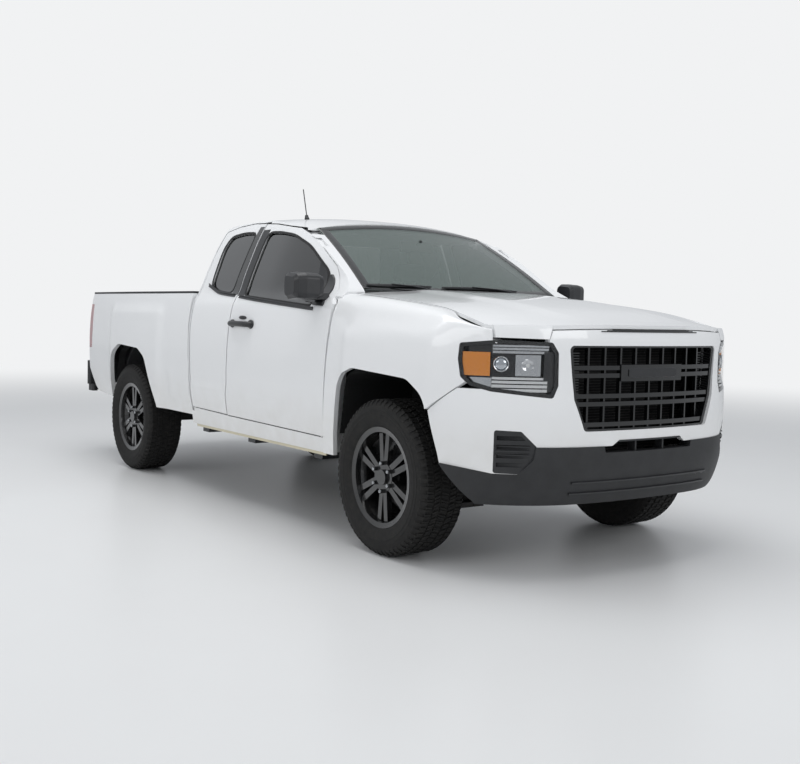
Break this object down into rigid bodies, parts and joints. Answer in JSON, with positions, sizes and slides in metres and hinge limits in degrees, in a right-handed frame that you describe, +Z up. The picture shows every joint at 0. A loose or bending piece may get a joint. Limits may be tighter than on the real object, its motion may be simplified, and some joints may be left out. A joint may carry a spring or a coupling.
{
  "type": "pickup truck",
  "caption": "Extended-cab pickup truck with opening doors, hood and tailgate, steered front wheels, rolling wheels and an open load bed.",
  "frame": {"origin": "ground point under the middle of the overall length and width", "axes": "+X towards the nose, +Y towards the left side, +Z up"},
  "size_m": [5.3955, 2.124, 1.9667],
  "materials": {
    "white_paint": "gloss clear coat",
    "black_plastic": "fine grain",
    "gloss_black_plastic": "gloss",
    "black_bumper_paint": "satin powder coat",
    "lamp_lens": "clear lens",
    "red_lens": "gloss lens",
    "tinted_glass": "tinted",
    "clear_glass": "clear",
    "black_alloy": "satin black paint",
    "tyre_rubber": "moulded",
    "frame_black": "chassis black",
    "cast_grey": "cast",
    "exhaust_steel": "dull",
    "bed_coating": "sprayed liner",
    "floor_carpet": "pile",
    "bulkhead_black": "satin",
    "dash_grey": "soft grain",
    "wheel_leather": "grained",
    "seat_cloth": "woven"
  },
  "bodies": {
    "truck_body": {"antenna": "black_plastic", "bed_box": "bed_coating", "bedside_left": "white_paint", "bedside_right": "white_paint", "body_mounts": "frame_black", "bulkhead": "bulkhead_black", "cab_back": "white_paint", "cab_floor": "floor_carpet", "cab_side_left": "white_paint", "cab_side_right": "white_paint", "cowl_panel": "black_plastic", "cross_members": "frame_black", "dashboard": "dash_grey", "engine": "cast_grey", "exhaust": "exhaust_steel", "fascia": "white_paint", "fender_left": "white_paint", "fender_right": "white_paint", "frame_rails": "frame_black", "front_bumper": "black_plastic", "front_seats": "seat_cloth", "front_suspension": "frame_black", "fuel_tank": "frame_black", "grille": "black_plastic", "headlamps": "lamp_lens", "rail_caps": "black_plastic", "rear_axle": "frame_black", "rear_bumper": "black_bumper_paint", "rear_seats": "seat_cloth", "rear_window": "tinted_glass", "roof": "white_paint", "spare_wheel": "tyre_rubber", "tail_lamps": "red_lens", "wheel_liners": "black_plastic", "windshield": "clear_glass"},
    "wheel_front_right": {"rim_front_right": "black_alloy", "tyre_front_right": "tyre_rubber"},
    "wheel_front_left": {"rim_front_left": "black_alloy", "tyre_front_left": "tyre_rubber"},
    "wheel_rear_right": {"rim_rear_right": "black_alloy", "tyre_rear_right": "tyre_rubber"},
    "wheel_rear_left": {"rim_rear_left": "black_alloy", "tyre_rear_left": "tyre_rubber"},
    "knuckle_right": {"knuckle_right": "cast_grey"},
    "knuckle_left": {"knuckle_left": "cast_grey"},
    "door_front_right": {"door_front_right": "white_paint", "glass_front_right": "tinted_glass", "mirror_right": "gloss_black_plastic"},
    "door_front_left": {"door_front_left": "white_paint", "glass_front_left": "tinted_glass", "mirror_left": "gloss_black_plastic"},
    "door_rear_right": {"door_rear_right": "white_paint", "glass_rear_right": "tinted_glass"},
    "door_rear_left": {"door_rear_left": "white_paint", "glass_rear_left": "tinted_glass"},
    "hood": {"hood": "white_paint"},
    "tailgate": {"tailgate": "white_paint"},
    "steering_wheel": {"steering_wheel": "wheel_leather"}
  },
  "joints": [
    {"name": "rear_wheel_spin_right", "type": "hinge", "parent": "truck_body", "child": "wheel_rear_right", "pos_m": [-1.4855, -0.7925, 0.388], "axis": [0, 1, 0], "continuous": true},
    {"name": "front_wheel_spin_right", "type": "hinge", "parent": "knuckle_right", "child": "wheel_front_right", "pos_m": [1.7725, -0.7925, 0.388], "axis": [0, 1, 0], "continuous": true},
    {"name": "steer_right", "type": "hinge", "parent": "truck_body", "child": "knuckle_right", "pos_m": [1.7725, -0.712, 0.388], "axis": [0, 0, 1], "range_deg": [-35, 35]},
    {"name": "rear_wheel_spin_left", "type": "hinge", "parent": "truck_body", "child": "wheel_rear_left", "pos_m": [-1.4855, 0.7925, 0.388], "axis": [0, 1, 0], "continuous": true},
    {"name": "front_wheel_spin_left", "type": "hinge", "parent": "knuckle_left", "child": "wheel_front_left", "pos_m": [1.7725, 0.7925, 0.388], "axis": [0, 1, 0], "continuous": true},
    {"name": "steer_left", "type": "hinge", "parent": "truck_body", "child": "knuckle_left", "pos_m": [1.7725, 0.712, 0.388], "axis": [0, 0, 1], "range_deg": [-35, 35]},
    {"name": "front_door_right_hinge", "type": "hinge", "parent": "truck_body", "child": "door_front_right", "pos_m": [1.208, -0.898, 0.532], "axis": [0.0874, -0.025, 0.9959], "range_deg": [0, 65]},
    {"name": "rear_door_right_hinge", "type": "hinge", "parent": "truck_body", "child": "door_rear_right", "pos_m": [-0.375, -0.9, 0.552], "axis": [0, 0, -1], "range_deg": [0, 90]},
    {"name": "front_door_left_hinge", "type": "hinge", "parent": "truck_body", "child": "door_front_left", "pos_m": [1.208, 0.898, 0.532], "axis": [-0.0874, -0.025, -0.9959], "range_deg": [0, 65]},
    {"name": "rear_door_left_hinge", "type": "hinge", "parent": "truck_body", "child": "door_rear_left", "pos_m": [-0.375, 0.9, 0.552], "axis": [0, 0, 1], "range_deg": [0, 90]},
    {"name": "hood_hinge", "type": "hinge", "parent": "truck_body", "child": "hood", "pos_m": [1.345, 0, 1.287], "axis": [0, -1, 0], "range_deg": [0, 48]},
    {"name": "tailgate_hinge", "type": "hinge", "parent": "truck_body", "child": "tailgate", "pos_m": [-2.485, 0, 0.815], "axis": [0, -1, 0], "range_deg": [0, 88]},
    {"name": "steering_wheel_turn", "type": "hinge", "parent": "truck_body", "child": "steering_wheel", "pos_m": [0.76, 0.385, 1.15], "axis": [-0.9135, 0, 0.4067], "range_deg": [-580, 580]}
  ],
  "couplings": [
    {"joint": "steer_right", "follows": "steer_left", "ratio": 1},
    {"joint": "steering_wheel_turn", "follows": "steer_left", "ratio": 16}
  ]
}
